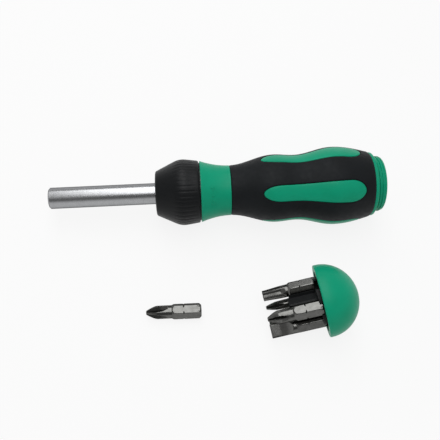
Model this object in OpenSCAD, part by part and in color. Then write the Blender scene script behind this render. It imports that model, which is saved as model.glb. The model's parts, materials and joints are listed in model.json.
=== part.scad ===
// Ratcheting screwdriver lying on a bench, with its end cap, bit carousel and one loose bit beside it.
// Millimetres. The origin is the middle of the bit socket's mouth. X runs from there to the handle, Z is up.

/* [Drive shaft] */
// Diameter of the visible steel shaft
shaft_d = 10; // [9:0.1:12]
// Length of shaft in front of the selector collar
shaft_show = 50; // [35:0.5:90]
// Width across flats of the bit socket
socket_af = 6.45; // [6.4:0.01:6.6]
// Depth of the bit socket
socket_depth = 16; // [13:0.5:20]
// Diameter of the magnet at the bottom of the socket
magnet_d = 5; // [4:0.1:6]
// Length of that magnet
magnet_len = 4; // [2:0.5:8]
// Bevel at the tip of the shaft
tip_bevel = 0.6; // [0.2:0.1:1.2]
// Diameter of the part of the shaft that turns in the nose bush
bearing_d = 9; // [8.6:0.1:9.2]
// Diameter of the part of the shaft that carries the gear
seat_d = 8; // [7.4:0.1:8.6]
// Width across the two flats that drive the gear
seat_flats = 6.8; // [6.6:0.1:7.2]
// Diameter of the rear journal
journal_d = 6.4; // [5.6:0.1:6.5]

/* [Selector collar] */
// Length of the collar
collar_len = 20.5; // [19.5:0.1:22]
// Diameter of its front face
collar_front_d = 20.8; // [20:0.1:22]
// Thickness of the collar round the ratchet, at its rear edge
collar_wall = 1.75; // [1.6:0.05:2.2]
// Rise of the widest place above the rear edge
collar_swell = 0.9; // [0.6:0.05:1.6]
// Distance from the front face to the widest place
collar_peak = 11.5; // [10.5:0.1:12]
// Radius of the rounded edges
collar_edge = 0.9; // [0.4:0.1:1.2]
// Number of grip flutes
flute_count = 40; // [24:4:60]
// Diameter of the cutter for one flute
flute_d = 2.2; // [1.4:0.1:3]
// Depth of a flute at the widest place
flute_depth = 0.35; // [0.1:0.05:0.5]
// Distance from the front face to the cavity round the ratchet
cavity_at = 9.2; // [9.1:0.05:9.4]
// Angle from the locked position to each drive position
selector_swing = 20; // [15:1:22]

/* [Handle] */
// Length of the green ring behind the collar
ring_len = 14; // [10:0.5:20]
// Diameter of the ring at the collar
ring_front_d = 29; // [27.5:0.1:29.4]
// Radius of the ring's front edge
ring_edge = 0.3; // [0.2:0.1:1]
// Thickness of the core over the spigot's keys, where ring and grip meet
waist_wall = 0.8; // [0.6:0.05:1.4]
// Length of the rubber grip
grip_len = 66.5; // [64:0.5:80]
// Thickness of the rubber
grip_wall = 1.5; // [1.2:0.1:1.6]
// Diameter of the front bulge
bulge_front_d = 32.3; // [31:0.1:35]
// Distance of the front bulge from the start of the grip
bulge_front_at = 21.5; // [19:0.5:24]
// Diameter of the waist between the bulges
waist_d = 31.1; // [30:0.1:32]
// Distance of the waist from the start of the grip
waist_at = 31; // [28:0.5:36]
// Diameter of the rear bulge
bulge_rear_d = 37.2; // [35:0.1:41]
// Distance of the rear bulge from the start of the grip
bulge_rear_at = 49.5; // [45:0.5:54]
// Length of the half wave that the grip follows behind the rear bulge
tail_wave = 33.6; // [30:0.2:40]
// Diameter of the rear end of the grip
grip_end_d = 31.1; // [30.5:0.1:33]
// Number of green inlays
inlay_count = 5; // [3:1:6]
// Width of an inlay where its front end starts to narrow
inlay_front_w = 7.8; // [6:0.1:9]
// Length of the curve at its front end
inlay_front_len = 9; // [5:0.1:11]
// Width of an inlay where its rear end starts to narrow
inlay_rear_w = 10.9; // [8:0.1:12]
// Length of the curve at its rear end
inlay_rear_len = 6.2; // [5:0.1:8]
// Distance of the inlays' front ends from the start of the grip
inlay_from = 14; // [10:0.5:20]
// Distance of the inlays' rear ends from the rear end of the grip
inlay_back = 4.5; // [3.5:0.5:12]
// Turn of the first inlay away from straight up
inlay_turn = 38; // [0:1:72]

/* [Neck and bit storage] */
// Length of the neck behind the grip
neck_len = 6; // [5:0.1:8]
// Thickness of the neck between its ridges
neck_wall = 0.8; // [0.7:0.05:1.1]
// Height of the ridges that hold the end cap
ridge_h = 0.45; // [0.3:0.05:0.5]
// Number of ridges
ridge_count = 3; // [2:1:3]
// Length of the rim between the grip and the ridges
rim_len = 1.6; // [1.2:0.1:2]
// Step from the grip down to that rim
rim_step = 0.3; // [0.2:0.05:0.8]
// Radius of the rim's rear edge
rim_edge = 0.8; // [0.3:0.1:1]
// Depth of the bit storage bore from the end of the neck
storage_depth = 36; // [34:0.5:44]

/* [Ratchet] */
// Number of teeth on the gear
gear_teeth = 24; // [24:12:24]
// Outside diameter of the gear
gear_d = 13.2; // [13:0.05:13.4]
// Diameter at the roots of the teeth
gear_root_d = 10.76; // [10.6:0.02:10.8]
// Width of the gear
gear_w = 7; // [6:0.1:7.2]
// Width of a tooth's crest
crest_w = 0.35; // [0.3:0.01:0.4]
// Width of the floor between two teeth
root_w = 0.28; // [0.24:0.01:0.3]
// Distance from the shaft's axis to a pawl's nose in the locked position
nose_reach = 6.1; // [6.08:0.01:6.12]
// Half width of a pawl's nose
nose_half_w = 0.08; // [0.06:0.01:0.1]
// Angle of a pawl's flanks
nose_slope = 20; // [18:1:21]
// Angle from the top of the ratchet to each pawl's nose
nose_turn = 45; // [45:15:45]
// Width of the rocker
rocker_w = 6.4; // [5.6:0.1:6.6]
// Swing of the rocker for a full swing of the selector
rocker_swing = 5.8; // [5.6:0.1:5.8]
// Height of the rocker's back above its pin
rocker_back = 1.75; // [1.6:0.05:1.8]
// Half width of the rocker's back
rocker_ear = 4; // [3.8:0.1:4.1]
// Half width of the rocker across its feet
rocker_foot = 6; // [5.8:0.1:6.1]
// Height of the feet above the pawls' noses
rocker_rise = 0.9; // [0.8:0.05:1]
// Gap between the gear's crests and the hollow of the rocker
rocker_hollow = 0.75; // [0.7:0.01:0.8]
// Length of a pawl's nose
nose_len = 1.8; // [1.6:0.05:1.9]
// Room on each side of the rocker in the housing's slot
slot_room = 1.1; // [1:0.05:1.2]
// Diameter of the pin that the rocker turns on
pin_d = 2.2; // [1.8:0.1:2.4]
// Diameter of the spring plunger
plunger_d = 2.4; // [2:0.1:2.6]
// Thickness of the collar's boss on each side of the plunger
boss_wall = 0.8; // [0.6:0.05:0.9]
// Diameter of the plunger spring's coil
spring_d = 1.9; // [1.6:0.1:2]
// Diameter of the spring's wire
wire_d = 0.35; // [0.2:0.05:0.4]
// Distance from the shaft's axis to the spring's outer seat
spring_seat = 14.5; // [14.4:0.05:14.6]
// Length of the plunger spring
spring_len = 1.5; // [1.4:0.05:1.6]
// Diameter of the ratchet housing
housing_d = 24.8; // [24.4:0.1:25]
// Diameter of the housing's spigot in the handle
spigot_d = 18; // [17:0.1:18]
// Length of that spigot
spigot_len = 17; // [16.5:0.1:18]
// Number of keys on the spigot
key_count = 4; // [3:1:6]
// Width of one key
key_w = 2.4; // [2:0.1:4]
// Height of one key
key_h = 0.6; // [0.4:0.05:0.7]
// Distance of the nose behind the collar's front face
nose_back = 1; // [0.6:0.1:1.4]
// Diameter of the nose that carries the collar
nose_d = 15.2; // [14.8:0.1:15.6]
// Thickness of the nose bush's flange
flange_t = 1.8; // [1.6:0.1:1.9]
// Number of screws in the flange
flange_screws = 3; // [3:1:3]
// Diameter of those screws
flange_screw_d = 2; // [1.8:0.1:2.2]
// Diameter of their heads
flange_head_d = 3.6; // [3.2:0.1:3.8]
// Length of those screws
flange_screw_len = 5.6; // [4.5:0.1:6]
// Radius of their pitch circle
flange_screw_r = 9.7; // [9.6:0.05:9.8]
// Diameter of the clip on the nose
selector_clip_d = 17.2; // [16.8:0.1:17.4]
// Diameter of the clip on the shaft
shaft_clip_d = 10.8; // [9.5:0.1:11.5]
// Depth of the grooves that hold the clips
groove_depth = 0.6; // [0.4:0.05:0.7]
// Length of shaft behind its clip
shaft_tail = 1.2; // [0.8:0.1:2]
// Thickness of the retaining clips
clip_t = 0.8; // [0.6:0.05:0.8]
// Width of a retaining clip's opening
clip_gap = 4; // [3:0.5:5]
// Diameter of the rear bush
bush_d = 10.4; // [9.8:0.1:11]
// Length of the rear bush
bush_len = 13; // [11:0.5:13]
// Diameter of the thrust washer
washer_d = 12.4; // [11.6:0.1:12.6]
// Thickness of the washers
washer_t = 0.8; // [0.5:0.05:0.8]

/* [End cap and bit holder] */
// Diameter of the end cap at its rim
cap_d = 32.4; // [31.6:0.1:35]
// Height of the end cap's dome
cap_h = 16.6; // [15.6:0.1:18]
// Height of the straight band at the rim
cap_band = 1; // [0.6:0.1:1.6]
// Bevel at the rim's outer edge
cap_bevel = 0.4; // [0.2:0.1:0.6]
// Depth of the cap's mouth
cap_bore_depth = 6.6; // [6.4:0.1:8.5]
// Diameter of the bowl behind the mouth
cap_bowl_d = 18; // [16:0.5:19]
// Depth of the bowl from the rim
cap_bowl_depth = 10.5; // [10:0.1:11]
// Diameter of the post that the holder turns on
cap_post_d = 6; // [5.6:0.1:6.4]
// Distance of the post's end from the rim
cap_post_end = 1; // [0.8:0.1:2]
// Height of the holder's base disc outside the rim
holder_show = 1.4; // [0.8:0.1:1.8]
// Length of the holder's core beyond the base disc
holder_len = 12.8; // [12:0.1:16]
// Width of the ribs on the core's edges
rib_w = 0.8; // [0.6:0.1:1.2]
// Height of those ribs
rib_h = 1; // [0.6:0.1:1.2]
// Distance of the ribs' ends behind the core's end
rib_step = 0.6; // [0.3:0.1:3]
// Number of bit seats
seat_count = 6; // [6:1:6]
// Radius of the circle through the bits' axes
seat_r = 8.15; // [8.05:0.05:8.4]
// Depth of the pocket behind each bit
pocket_depth = 1.8; // [1:0.1:2.4]
// Thickness of the core round its magnet
core_wall = 0.65; // [0.55:0.05:0.75]
// Length of the magnet in the core
core_magnet_len = 4.4; // [3.5:0.1:5]
// Depth of the hole for that magnet and the screw's head
core_hole_depth = 8; // [7.8:0.1:8.4]
// Diameter of the holder screw
holder_screw_d = 3; // [2.6:0.1:3.4]
// Diameter of its head
holder_head_d = 5.6; // [5:0.1:6]
// Height of its head
holder_head_h = 2; // [1.6:0.1:2.2]
// Length of its shank
holder_screw_len = 12; // [10:0.5:13]

/* [Bits] */
// Width across flats of a bit
bit_af = 6.35; // [6.3:0.01:6.37]
// Length of a bit
bit_len = 25; // [25:0.5:25.5]
// Length of a bit's hexagon
hex_len = 13.4; // [12:0.1:14]
// Distance of the catch notch from the bit's rear end
notch_at = 8; // [7:0.1:9]
// Width of the catch notch
notch_w = 2.4; // [1.8:0.1:3]
// Diameter left in the catch notch
notch_d = 6.5; // [6.4:0.05:6.8]
// Bevel at the hexagon's rear end
hex_bevel = 0.6; // [0.3:0.1:1]
// Length of the slope behind a bit's tip
slope_len = 0.8; // [0.5:0.1:2]
// Diameter of the large cross tips
cross_large_d = 6; // [5.4:0.1:6.2]
// Diameter of the small cross tip
cross_small_d = 4.2; // [4:0.1:5]
// Length of the cone on a cross tip
cross_cone = 5.2; // [4:0.1:6]
// Diameter of the blunt end of a cross tip
cross_end_d = 1.4; // [0.8:0.1:2]
// Width of the cutter for a cross tip's flutes
cross_cut_w = 4; // [3:0.1:5]
// Lean of the cross tip's flutes
cross_lean = 12; // [8:1:16]
// Turn of a cross tip against its hexagon
wing_turn = 30; // [0:15:30]
// Diameter over the lobes of the star tip
star_d = 4.8; // [3.8:0.1:5]
// Length of the star and hexagon tips
star_len = 7.5; // [3:0.1:8]
// Width of the slotted blade
blade_w = 6.3; // [5:0.1:6.3]
// Thickness of the slotted blade at its end
blade_t = 1; // [0.6:0.1:1.4]
// Length of the slotted blade
blade_len = 10; // [7:0.5:11]
// Width across flats of the hexagon tip
key_tip_af = 5; // [3:0.1:5.4]

/* [Layout on the bench] */
// Distance along X to the middle of the cap's rim
cap_x = 121.7; // [110:0.1:140]
// Distance along Y to the middle of the cap's rim
cap_y = -56.6; // [-90:0.1:-45]
// Heading of the cap's axis
cap_yaw = 7; // [-20:0.5:40]
// Turn of the first bit away from straight up
holder_turn = 33; // [20:1:50]
// Turn of the large cross bit in its seat
cross_large_turn = 20; // [-30:1:30]
// Turn of the slotted bit in its seat
slotted_turn = 21; // [-30:1:30]
// Turn of the star bit in its seat
star_turn = 6; // [-30:1:30]
// Distance along X to the tip of the loose bit
loose_x = 44; // [20:0.5:70]
// Distance along Y to the loose bit
loose_y = -54.7; // [-80:0.1:-40]

/* [Clearances] */
// Gap between pieces that are fixed to each other
fit_gap = 0.02; // [0.01:0.01:0.05]
// Gap between a turning piece and its bearing
run_gap = 0.04; // [0.02:0.01:0.08]
// Gap along the axis beside a turning piece
side_gap = 0.2; // [0.1:0.05:0.3]
// Gap beside pieces that move past each other freely
free_gap = 0.3; // [0.2:0.05:0.4]
// Gap round the ratchet housing in the collar
cavity_room = 0.55; // [0.5:0.05:0.7]
// Gap between the plunger and the rocker's back
touch_gap = 0.06; // [0.04:0.01:0.1]
// Gap round a bit in its seat
bit_gap = 0.05; // [0.03:0.01:0.1]
// Seam between an inlay and the rubber
seam_gap = 0.08; // [0.04:0.01:0.15]
// Gap between the collar and the green ring
collar_gap = 0.5; // [0.4:0.05:0.8]
// Length by which a cutter runs past a face
overrun = 1; // [0.5:0.5:3]

/* [Hidden] */
$fn = 72;

// Places along the tool's axis, from the tip
collar_z = shaft_show;
peak_z = collar_z + collar_peak;
ring_z = collar_z + collar_len + collar_gap;
grip_z = ring_z + ring_len;
neck_z = grip_z + grip_len;
tool_len = neck_z + neck_len;
bulge_front_z = grip_z + bulge_front_at;
waist_z = grip_z + waist_at;
bulge_rear_z = grip_z + bulge_rear_at;

// The collar is built up round the ratchet housing
cavity_d = housing_d + 2 * cavity_room;
collar_rear_d = cavity_d + 2 * collar_wall;
collar_d = collar_rear_d + 2 * collar_swell;

// The handle is narrowest where ring and grip meet, over the ratchet's spigot
ring_waist_d = spigot_d + 2 * (key_h + waist_wall + grip_wall);

// Fall in radius over the half wave behind the rear bulge, of which the grip uses a share
tail_share = (1 - cos(180 * (neck_z - bulge_rear_z) / tail_wave)) / 2;
tail_fall = (bulge_rear_d - grip_end_d) / 2 / tail_share;

// The tool rests on the collar's widest ring and on the rear bulge
rest_tilt = atan((bulge_rear_d - collar_d) / 2 / (bulge_rear_z - peak_z));
bench_z = peak_z * sin(rest_tilt) - collar_d / 2 * cos(rest_tilt);

// Places of the ratchet along the axis
cavity_z = collar_z + cavity_at;
flange_z = cavity_z + side_gap;
housing_z = flange_z + flange_t;
gear_z = housing_z + side_gap;
pocket_end = gear_z + gear_w + side_gap;
rocker_z = gear_z + (gear_w - rocker_w) / 2;
plunger_z = gear_z + gear_w / 2;
pin_z = housing_z - pin_d / 2;
pin_end = ring_z - pin_d / 2;
spigot_end = ring_z + spigot_len;
bush_end = pocket_end + bush_len;
washer_z = bush_end + run_gap;
shaft_clip_z = washer_z + washer_t + run_gap;
shaft_end = shaft_clip_z + clip_t + shaft_tail;
nose_z = collar_z + nose_back;
nose_clip_z = nose_z + clip_t;
recess_end = nose_clip_z + clip_t + side_gap;

// Diameters left in the grooves for the clips
nose_groove_d = nose_d - 2 * groove_depth;
shaft_groove_d = journal_d - 2 * groove_depth;

// The rocker's pin lies where a pawl's push on a tooth runs straight through it
pin_r = nose_reach / cos(nose_turn);
back_top = pin_r + rocker_back;
rocker_clear_r = gear_d / 2 + rocker_hollow;
plunger_r = plunger_d / 2;
plunger_tip = back_top + touch_gap;
plunger_top = spring_seat - spring_len;

// Seen from the rocker, the plunger's round end moves on an arc, which the rocker's back follows
ball_r = plunger_tip + plunger_r;
ball_out = ball_r * cos(selector_swing) - pin_r;
ball_across = ball_r * sin(selector_swing);
seen_out = ball_out * cos(rocker_swing) + ball_across * sin(rocker_swing);
seen_across = ball_across * cos(rocker_swing) - ball_out * sin(rocker_swing);
seen_fall = ball_r - pin_r - seen_out;
ball_arc_r = (seen_across * seen_across + seen_fall * seen_fall) / (2 * seen_fall);
back_arc_r = ball_arc_r - plunger_r - touch_gap;

// Shares of a named size
ridge_shares = [0.1, 0.4, 0.6, 0.9];
lobe_place_share = 1.06;
lobe_cut_share = 0.3;
lobe_neck_share = 1.2;
blade_flat_share = 0.4;
flute_end_share = 0.35;

// Steps along a curve
grip_steps = 30;
ring_steps = 12;
inlay_steps = 20;
dome_steps = 18;
edge_steps = 4;
back_steps = 8;
blade_steps = 6;

// Places of the bits and the cap
corner_r = bit_af / 2 / cos(30);
holder_d = 2 * seat_r + bit_af - 2 * side_gap;
storage_d = 2 * (seat_r + corner_r + side_gap);
neck_d = storage_d + 2 * neck_wall;
ridge_d = neck_d + 2 * ridge_h;
cap_bore_d = ridge_d + 2 * side_gap;
ridge_pitch = (neck_len - rim_len - cap_bevel) / ridge_count;
seat_pitch = 360 / seat_count;
lowest_seat = 2;
bit_rear = holder_show - pocket_depth + bit_gap;
low_turn = 180 - holder_turn - lowest_seat * seat_pitch;
low_reach = seat_r * cos(low_turn) + key_tip_af / 2 / cos(30);
cap_tilt = atan((cap_d / 2 - low_reach) / (bit_len + bit_rear + cap_bevel));
cap_z = bench_z + cap_d / 2 * cos(cap_tilt) - cap_bevel * sin(cap_tilt);
core_flat = seat_r - corner_r - free_gap;
core_corner = core_flat / cos(30);
core_magnet_d = 2 * (core_flat - core_wall);
core_end = holder_show + holder_len;
head_seat = core_end - core_hole_depth;
holder_rear = cap_bore_depth - side_gap;

// Colours
green = [0.10, 0.55, 0.42];
black = [0.10, 0.11, 0.12];
rubber = [0.15, 0.16, 0.17];
chrome = [0.78, 0.79, 0.80];
steel = [0.52, 0.53, 0.54];
dark_steel = [0.32, 0.33, 0.34];
bronze = [0.62, 0.47, 0.26];
zinc = [0.60, 0.61, 0.63];

// Radius of a cosine step from r0 at z0 to r1 at z1
function wave(z, z0, z1, r0, r1) = r0 + (r1 - r0) * (1 - cos(180 * (z - z0) / (z1 - z0))) / 2;

// Outside radius of the grip
function grip_r(z) =
    z < bulge_front_z ? wave(z, grip_z, bulge_front_z, ring_waist_d / 2, bulge_front_d / 2) :
    z < waist_z ? wave(z, bulge_front_z, waist_z, bulge_front_d / 2, waist_d / 2) :
    z < bulge_rear_z ? wave(z, waist_z, bulge_rear_z, waist_d / 2, bulge_rear_d / 2) :
    wave(z, bulge_rear_z, bulge_rear_z + tail_wave, bulge_rear_d / 2, bulge_rear_d / 2 - tail_fall);

// Points of the grip's outside, moved in by depth
function grip_curve(depth) =
    [for (i = [0 : grip_steps]) let (z = grip_z + grip_len * i / grip_steps) [grip_r(z) - depth, z]];

// Points of a round edge about a centre, from angle a0 to a1
function edge(centre, r, a0, a1) =
    [for (i = [0 : edge_steps]) let (a = a0 + (a1 - a0) * i / edge_steps) centre + r * [cos(a), sin(a)]];

// Points of half an oval to the side of +x, from below to above
function half_oval(reach, half_w) =
    [for (i = [0 : inlay_steps]) let (a = 180 * i / inlay_steps - 90) [reach * cos(a), half_w * sin(a)]];

function reversed(list) = [for (i = [len(list) - 1 : -1 : 0]) list[i]];

// Local z along the tool from the tip, local x up, local y to the viewer
module on_tool() {
    rotate([0, 90 - rest_tilt, 0])
        rotate([0, 0, 180])
            children();
}

// Local z from the rim to the dome, local x up, local y to the viewer
module on_cap() {
    translate([cap_x, cap_y, cap_z])
        rotate([0, 0, cap_yaw])
            rotate([0, 90 - cap_tilt, 0])
                rotate([0, 0, 180])
                    children();
}

// Local z along a stored bit, from its rear end to its tip
module in_seat(i, turn) {
    on_cap()
        rotate([0, 0, holder_turn + i * seat_pitch])
            translate([seat_r, 0, -bit_rear])
                rotate([180, 0, turn])
                    children();
}

module hexagon(af) {
    rotate(30)
        circle(d = af / cos(30), $fn = 6);
}

module double_flat(d, flats) {
    intersection() {
        circle(d = d);
        square([d + overrun, flats], center = true);
    }
}

module tube(outer_d, inner_d, z0, z1) {
    translate([0, 0, z0])
        difference() {
            cylinder(d = outer_d, h = z1 - z0);
            translate([0, 0, -overrun])
                cylinder(d = inner_d, h = z1 - z0 + 2 * overrun);
        }
}

module open_ring(outer_d, inner_d, z0, z1) {
    difference() {
        tube(outer_d, inner_d, z0, z1);
        translate([-outer_d, -clip_gap / 2, z0 - overrun])
            cube([outer_d, clip_gap, z1 - z0 + 2 * overrun]);
    }
}

// Outline of one inlay, along x from its front end to its rear end
module inlay_outline(grow) {
    front_x = inlay_from + inlay_front_len;
    rear_x = grip_len - inlay_back - inlay_rear_len;
    front = half_oval(inlay_front_len + grow, inlay_front_w / 2 + grow);
    rear = half_oval(inlay_rear_len + grow, inlay_rear_w / 2 + grow);
    polygon(concat([for (p = front) [front_x - p[0], -p[1]]], [for (p = rear) [rear_x + p[0], p[1]]]));
}

// All inlay outlines pushed out from inside the handle
module inlay_prisms(grow) {
    for (i = [0 : inlay_count - 1]) {
        rotate([0, 0, inlay_turn + i * 360 / inlay_count])
            translate([bulge_rear_d, 0, grip_z])
                rotate([0, -90, 0])
                    linear_extrude(bulge_rear_d - spigot_d / 2)
                        inlay_outline(grow);
    }
}

module core_profile() {
    ring_r = ring_front_d / 2;
    neck_r = neck_d / 2;
    curve_z = ring_z + ring_edge;
    flare = ring_r - ring_waist_d / 2;
    rim_r = grip_end_d / 2 - rim_step;
    rim_z = neck_z + fit_gap;
    rim_end = neck_z + rim_len;
    ring_curve = [for (i = [1 : ring_steps])
        let (left = 1 - i / ring_steps)
        [ring_waist_d / 2 + flare * left * left, grip_z - (grip_z - curve_z) * left]];
    ridges = [for (i = [0 : ridge_count - 1])
        let (z = rim_end + i * ridge_pitch)
        each [[neck_r, z + ridge_shares[0] * ridge_pitch], [ridge_d / 2, z + ridge_shares[1] * ridge_pitch],
            [ridge_d / 2, z + ridge_shares[2] * ridge_pitch], [neck_r, z + ridge_shares[3] * ridge_pitch]]];
    polygon(concat(
        [[0, ring_z]],
        edge([ring_r - ring_edge, curve_z], ring_edge, -90, 0),
        ring_curve,
        grip_curve(grip_wall),
        [[grip_end_d / 2 - grip_wall, rim_z], [rim_r, rim_z]],
        edge([rim_r - rim_edge, rim_end - rim_edge], rim_edge, 0, 90),
        [[neck_r, rim_end]],
        ridges,
        [[neck_r, tool_len - cap_bevel], [neck_r - cap_bevel, tool_len], [0, tool_len]]));
}

module keys(grow) {
    for (i = [0 : key_count - 1]) {
        rotate([0, 0, i * 360 / key_count])
            translate([0, -key_w / 2 - grow, ring_z - fit_gap])
                cube([spigot_d / 2 + key_h + grow, key_w + 2 * grow, spigot_len + grow]);
    }
}

module handle_core() {
    color(green) on_tool() difference() {
        union() {
            rotate_extrude()
                core_profile();
            intersection() {
                rotate_extrude()
                    polygon(concat([[0, grip_z]], grip_curve(0), [[0, neck_z]]));
                inlay_prisms(0);
            }
        }
        translate([0, 0, ring_z - overrun])
            cylinder(d = spigot_d + 2 * fit_gap, h = spigot_len + side_gap + overrun);
        keys(fit_gap);
        translate([0, 0, tool_len - storage_depth])
            cylinder(d = storage_d, h = storage_depth + overrun);
    }
}

module grip_sleeve() {
    color(rubber) on_tool() difference() {
        rotate_extrude()
            polygon(concat(grip_curve(0), reversed(grip_curve(grip_wall - fit_gap))));
        inlay_prisms(seam_gap);
    }
}

module ratchet_housing() {
    slot_w = 2 * (rocker_foot + slot_room);
    color(zinc) on_tool() difference() {
        union() {
            translate([0, 0, housing_z + fit_gap])
                cylinder(d = housing_d, h = ring_z - housing_z - 2 * fit_gap);
            translate([0, 0, pocket_end + side_gap])
                cylinder(d = cavity_d - 2 * run_gap, h = ring_z - pocket_end - side_gap - fit_gap);
            translate([0, 0, pocket_end])
                cylinder(d = spigot_d, h = spigot_end - pocket_end);
            keys(0);
        }
        translate([0, 0, housing_z])
            cylinder(d = gear_d + 2 * free_gap, h = pocket_end - housing_z);
        translate([gear_d / 4, -slot_w / 2, housing_z])
            cube([cavity_d, slot_w, pocket_end - housing_z]);
        translate([pin_r, 0, housing_z])
            cylinder(d = pin_d + 2 * fit_gap, h = pin_end - housing_z);
        translate([0, 0, housing_z])
            cylinder(d = bush_d + 2 * fit_gap, h = spigot_end - housing_z + overrun);
        translate([0, 0, bush_end])
            cylinder(d = washer_d + 2 * free_gap, h = spigot_end - bush_end + overrun);
        at_flange_screws()
            cylinder(d = flange_screw_d + 2 * fit_gap, h = flange_screw_len + side_gap);
    }
}

// Screws stand round the side of the flange that is away from the rocker
module at_flange_screws() {
    for (i = [1 : flange_screws]) {
        rotate([0, 0, i * 360 / (flange_screws + 1)])
            translate([flange_screw_r, 0, flange_z])
                children();
    }
}

// Countersunk screw whose head face lies at z = 0
module countersunk(grow) {
    head_h = (flange_head_d - flange_screw_d) / 2;
    shank_r = flange_screw_d / 2 + grow;
    rotate_extrude()
        polygon([[0, 0], [flange_head_d / 2 + grow, 0], [shank_r, head_h], [shank_r, flange_screw_len],
            [0, flange_screw_len]]);
}

module nose_bush() {
    bore_r = bearing_d / 2 + run_gap;
    color(steel) on_tool() difference() {
        rotate_extrude()
            polygon([[bore_r, nose_z], [nose_d / 2, nose_z], [nose_d / 2, flange_z],
                [housing_d / 2, flange_z], [housing_d / 2, housing_z], [bore_r, housing_z]]);
        tube(nose_d + overrun, nose_groove_d, nose_clip_z - fit_gap, nose_clip_z + clip_t + fit_gap);
        translate([pin_r, 0, pin_z])
            cylinder(d = pin_d + 2 * fit_gap, h = pin_d);
        translate([back_top + free_gap, -housing_d / 2, flange_z - overrun])
            cube([housing_d, housing_d, flange_t + 2 * overrun]);
        at_flange_screws()
            countersunk(fit_gap);
    }
}

module flange_screws_set() {
    slot_w = flange_screw_d / 3;
    color(dark_steel) on_tool() at_flange_screws() difference() {
        countersunk(0);
        translate([-flange_head_d, -slot_w / 2, -slot_w])
            cube([2 * flange_head_d, slot_w, 2 * slot_w]);
    }
}

module pawl_pin() {
    color(steel) on_tool() translate([pin_r, 0, pin_z + fit_gap])
        cylinder(d = pin_d, h = pin_end - pin_z - 2 * fit_gap);
}

module selector_clip() {
    color(dark_steel) on_tool()
        open_ring(selector_clip_d, nose_groove_d + 2 * fit_gap, nose_clip_z, nose_clip_z + clip_t);
}

module rear_bush() {
    color(bronze) on_tool()
        tube(bush_d, journal_d + 2 * run_gap, pocket_end, bush_end);
}

module drive_shaft() {
    shaft_r = shaft_d / 2;
    bearing_r = bearing_d / 2;
    journal_r = journal_d / 2;
    groove_r = shaft_groove_d / 2;
    groove_from = shaft_clip_z - fit_gap;
    groove_to = shaft_clip_z + clip_t + fit_gap;
    color(chrome) on_tool() difference() {
        union() {
            rotate_extrude()
                polygon([[0, 0], [shaft_r - tip_bevel, 0], [shaft_r, tip_bevel], [shaft_r, shaft_show],
                    [bearing_r, shaft_show], [bearing_r, gear_z - fit_gap], [0, gear_z - fit_gap]]);
            translate([0, 0, gear_z - overrun])
                linear_extrude(gear_w + overrun)
                    double_flat(seat_d, seat_flats);
            rotate_extrude()
                polygon([[0, gear_z], [journal_r, gear_z], [journal_r, groove_from], [groove_r, groove_from],
                    [groove_r, groove_to], [journal_r, groove_to], [journal_r, shaft_end], [0, shaft_end]]);
        }
        translate([0, 0, -overrun])
            linear_extrude(socket_depth + overrun)
                hexagon(socket_af);
        cylinder(d = magnet_d + 2 * fit_gap, h = socket_depth + magnet_len + fit_gap);
    }
}

module gear_outline() {
    step = 360 / gear_teeth;
    root_half = asin(root_w / gear_root_d);
    crest_half = asin(crest_w / gear_d);
    // Each space between teeth lies on a whole step, and each crest half a step on
    turns = [-root_half, root_half, step / 2 - crest_half, step / 2 + crest_half];
    radii = [gear_root_d / 2, gear_root_d / 2, gear_d / 2, gear_d / 2];
    polygon([for (i = [0 : gear_teeth - 1], k = [0 : 3])
        radii[k] * [cos(i * step + turns[k]), sin(i * step + turns[k])]]);
}

module ratchet_gear() {
    color(dark_steel) on_tool() translate([0, 0, gear_z])
        linear_extrude(gear_w)
            difference() {
                gear_outline();
                double_flat(seat_d + 2 * fit_gap, seat_flats + 2 * fit_gap);
            }
}

module socket_magnet() {
    color(zinc) on_tool() translate([0, 0, socket_depth])
        cylinder(d = magnet_d, h = magnet_len);
}

module thrust_washer() {
    color(steel) on_tool()
        tube(washer_d, journal_d + 2 * run_gap, washer_z, washer_z + washer_t);
}

module shaft_clip() {
    color(dark_steel) on_tool()
        open_ring(shaft_clip_d, shaft_groove_d + 2 * fit_gap, shaft_clip_z, shaft_clip_z + clip_t);
}

module collar_profile() {
    front_r = collar_front_d / 2;
    rear_r = collar_rear_d / 2;
    bore_r = nose_d / 2 + run_gap;
    recess_r = selector_clip_d / 2 + free_gap;
    end_z = collar_z + collar_len;
    cone = atan((collar_d - collar_front_d) / 2 / collar_peak);
    polygon(concat(
        [[bore_r, recess_end], [recess_r, recess_end], [recess_r, collar_z]],
        edge([front_r - collar_edge, collar_z + collar_edge], collar_edge, -90, -cone),
        [[collar_d / 2, peak_z]],
        edge([rear_r - collar_edge, end_z - collar_edge], collar_edge, 0, 90),
        [[cavity_d / 2, end_z], [cavity_d / 2, cavity_z], [bore_r, cavity_z]]));
}

// Inward boss that guides the plunger
module plunger_boss() {
    boss_w = plunger_d + 2 * boss_wall;
    boss_r = back_top + free_gap + 2 * touch_gap;
    intersection() {
        tube(cavity_d + overrun, 2 * boss_r, rocker_z + free_gap, rocker_z + rocker_w - free_gap);
        translate([0, -boss_w / 2, rocker_z])
            cube([cavity_d, boss_w, rocker_w]);
    }
}

module fluted_disc() {
    flute_r = collar_d / 2 + flute_d / 2 - flute_depth;
    difference() {
        circle(d = collar_d + flute_d);
        for (i = [0 : flute_count - 1]) {
            rotate((i + 0.5) * 360 / flute_count)
                translate([flute_r, 0])
                    circle(d = flute_d);
        }
    }
}

module selector_collar() {
    color(black) on_tool() difference() {
        union() {
            intersection() {
                rotate_extrude()
                    collar_profile();
                translate([0, 0, collar_z - overrun])
                    linear_extrude(collar_len + 2 * overrun)
                        fluted_disc();
            }
            plunger_boss();
        }
        translate([0, 0, plunger_z])
            rotate([0, 90, 0])
                cylinder(d = plunger_d + 2 * run_gap, h = spring_seat + fit_gap);
    }
}

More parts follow.
